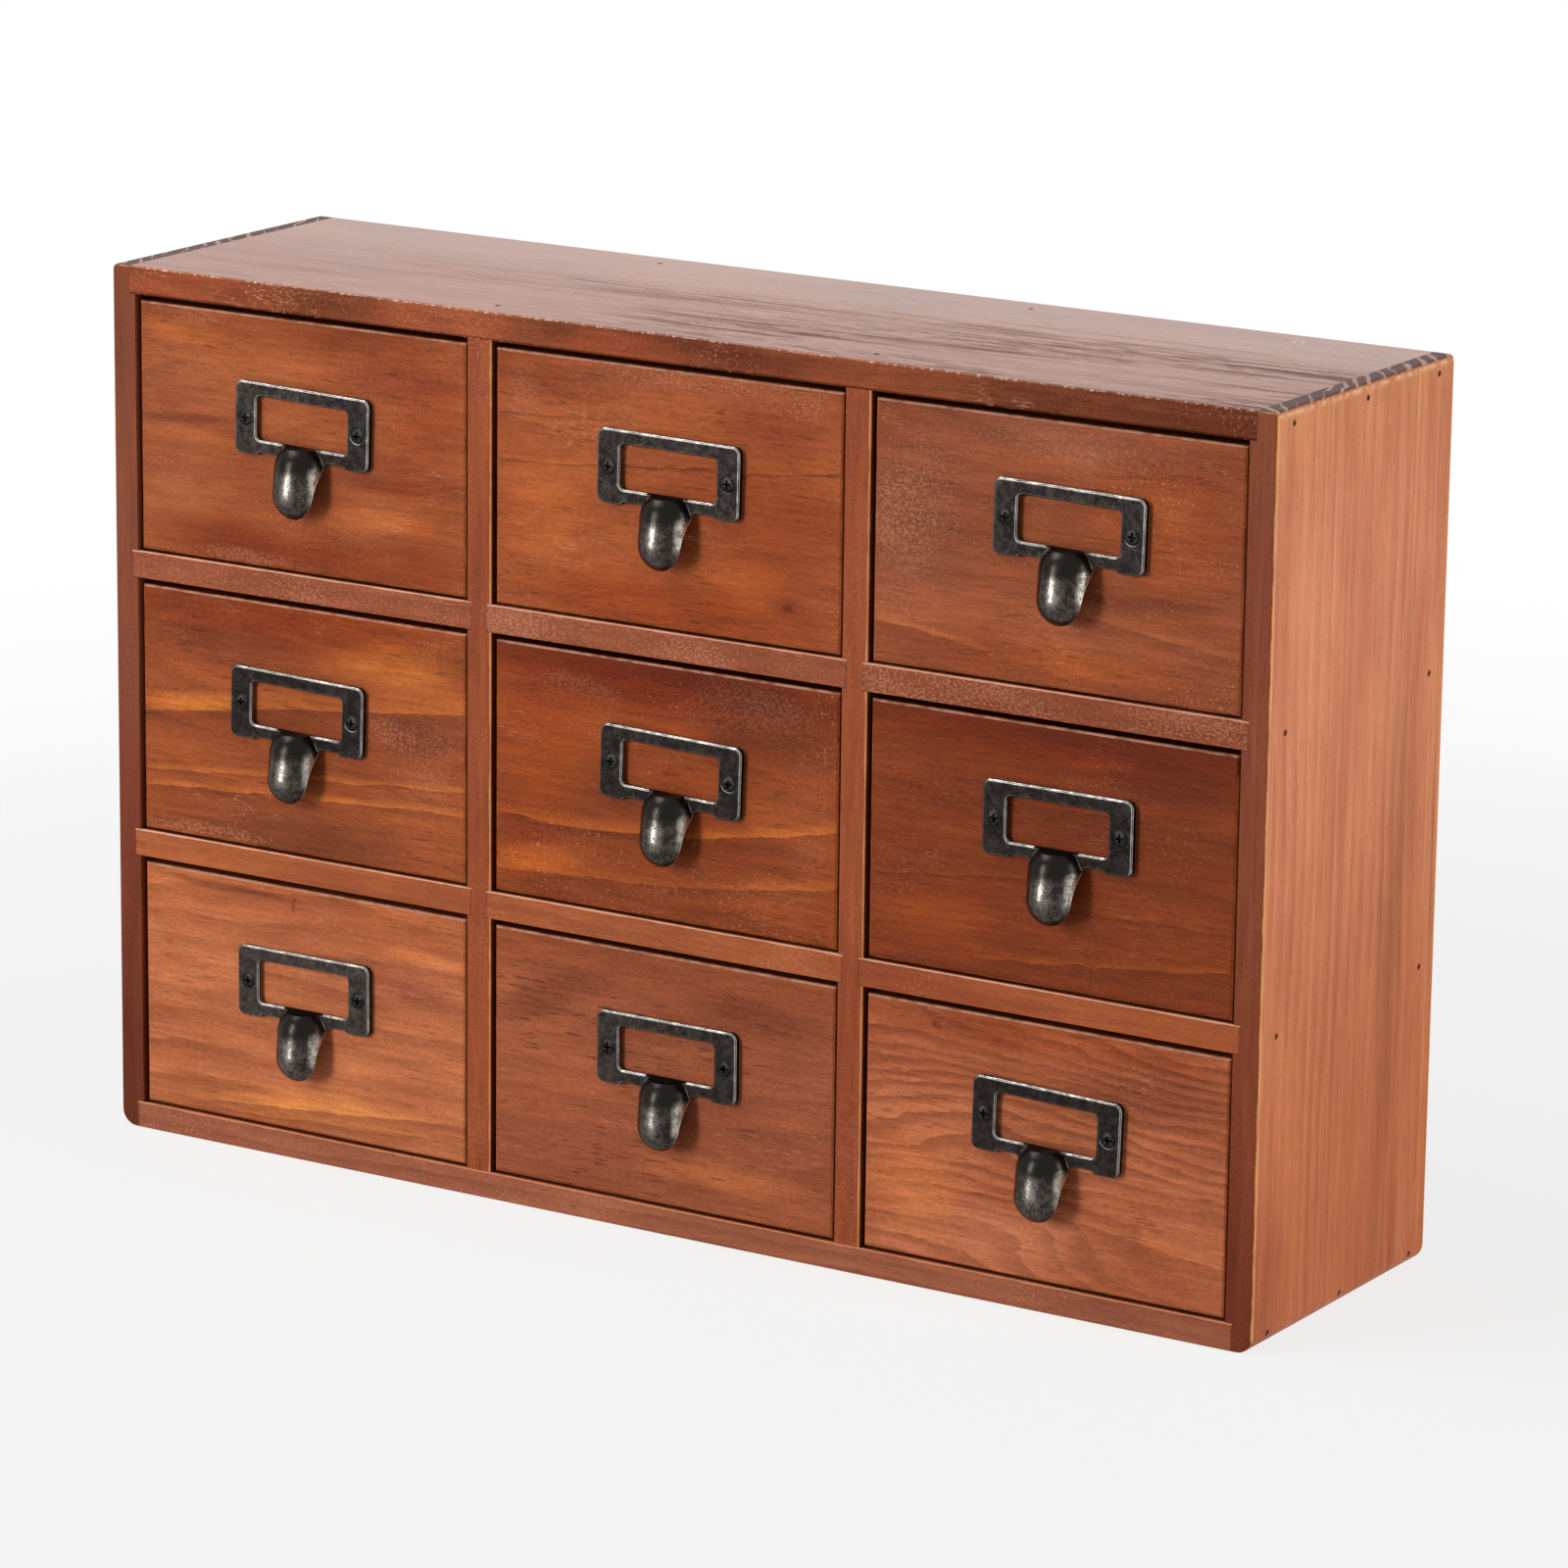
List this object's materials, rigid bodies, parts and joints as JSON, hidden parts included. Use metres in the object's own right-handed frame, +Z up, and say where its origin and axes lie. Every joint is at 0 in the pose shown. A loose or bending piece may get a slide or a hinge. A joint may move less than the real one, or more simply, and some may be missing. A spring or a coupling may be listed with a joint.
{
  "type": "desktop drawer cabinet",
  "caption": "Stained wood desktop cabinet with a grid of small sliding drawers, each with an iron label frame and a hooded finger tab.",
  "frame": {"origin": "middle of the cabinet's underside, pulls left out", "axes": "+X to the right seen from the front, +Y to the back, +Z up; the drawers open towards -Y"},
  "size_m": [0.375, 0.1089, 0.255],
  "materials": {
    "carcass_wood": "glossy red-brown stained pine",
    "front_wood": "satin orange-brown stained pine",
    "drawer_wood": "thinly stained softwood",
    "plywood": "plain thin plywood",
    "antique_iron": "blackened iron, worn bright at its edges",
    "screw_steel": "blackened steel",
    "nail_steel": "dull steel, sunk in the wood"
  },
  "bodies": {
    "cabinet": {"right_side": "carcass_wood", "left_side": "carcass_wood", "top_panel": "carcass_wood", "bottom_panel": "carcass_wood", "left_divider": "carcass_wood", "right_divider": "carcass_wood", "middle_left_shelf": "carcass_wood", "middle_centre_shelf": "carcass_wood", "middle_right_shelf": "carcass_wood", "top_left_shelf": "carcass_wood", "top_centre_shelf": "carcass_wood", "top_right_shelf": "carcass_wood", "back_panel": "plywood", "carcass_nails": "nail_steel"},
    "bottom_left_drawer": {"bottom_left_front": "front_wood", "bottom_left_walls": "drawer_wood", "bottom_left_floor": "plywood", "bottom_left_pull": "antique_iron", "bottom_left_screws": "screw_steel"},
    "bottom_centre_drawer": {"bottom_centre_front": "front_wood", "bottom_centre_walls": "drawer_wood", "bottom_centre_floor": "plywood", "bottom_centre_pull": "antique_iron", "bottom_centre_screws": "screw_steel"},
    "bottom_right_drawer": {"bottom_right_front": "front_wood", "bottom_right_walls": "drawer_wood", "bottom_right_floor": "plywood", "bottom_right_pull": "antique_iron", "bottom_right_screws": "screw_steel"},
    "middle_left_drawer": {"middle_left_front": "front_wood", "middle_left_walls": "drawer_wood", "middle_left_floor": "plywood", "middle_left_pull": "antique_iron", "middle_left_screws": "screw_steel"},
    "middle_centre_drawer": {"middle_centre_front": "front_wood", "middle_centre_walls": "drawer_wood", "middle_centre_floor": "plywood", "middle_centre_pull": "antique_iron", "middle_centre_screws": "screw_steel"},
    "middle_right_drawer": {"middle_right_front": "front_wood", "middle_right_walls": "drawer_wood", "middle_right_floor": "plywood", "middle_right_pull": "antique_iron", "middle_right_screws": "screw_steel"},
    "top_left_drawer": {"top_left_front": "front_wood", "top_left_walls": "drawer_wood", "top_left_floor": "plywood", "top_left_pull": "antique_iron", "top_left_screws": "screw_steel"},
    "top_centre_drawer": {"top_centre_front": "front_wood", "top_centre_walls": "drawer_wood", "top_centre_floor": "plywood", "top_centre_pull": "antique_iron", "top_centre_screws": "screw_steel"},
    "top_right_drawer": {"top_right_front": "front_wood", "top_right_walls": "drawer_wood", "top_right_floor": "plywood", "top_right_pull": "antique_iron", "top_right_screws": "screw_steel"}
  },
  "joints": [
    {"name": "bottom_left_slide", "type": "slide", "parent": "cabinet", "child": "bottom_left_drawer", "axis": [0, -1, 0], "range_m": [0, 0.08]},
    {"name": "bottom_centre_slide", "type": "slide", "parent": "cabinet", "child": "bottom_centre_drawer", "axis": [0, -1, 0], "range_m": [0, 0.08]},
    {"name": "bottom_right_slide", "type": "slide", "parent": "cabinet", "child": "bottom_right_drawer", "axis": [0, -1, 0], "range_m": [0, 0.08]},
    {"name": "middle_left_slide", "type": "slide", "parent": "cabinet", "child": "middle_left_drawer", "axis": [0, -1, 0], "range_m": [0, 0.08]},
    {"name": "middle_centre_slide", "type": "slide", "parent": "cabinet", "child": "middle_centre_drawer", "axis": [0, -1, 0], "range_m": [0, 0.08]},
    {"name": "middle_right_slide", "type": "slide", "parent": "cabinet", "child": "middle_right_drawer", "axis": [0, -1, 0], "range_m": [0, 0.08]},
    {"name": "top_left_slide", "type": "slide", "parent": "cabinet", "child": "top_left_drawer", "axis": [0, -1, 0], "range_m": [0, 0.08]},
    {"name": "top_centre_slide", "type": "slide", "parent": "cabinet", "child": "top_centre_drawer", "axis": [0, -1, 0], "range_m": [0, 0.08]},
    {"name": "top_right_slide", "type": "slide", "parent": "cabinet", "child": "top_right_drawer", "axis": [0, -1, 0], "range_m": [0, 0.08]}
  ]
}
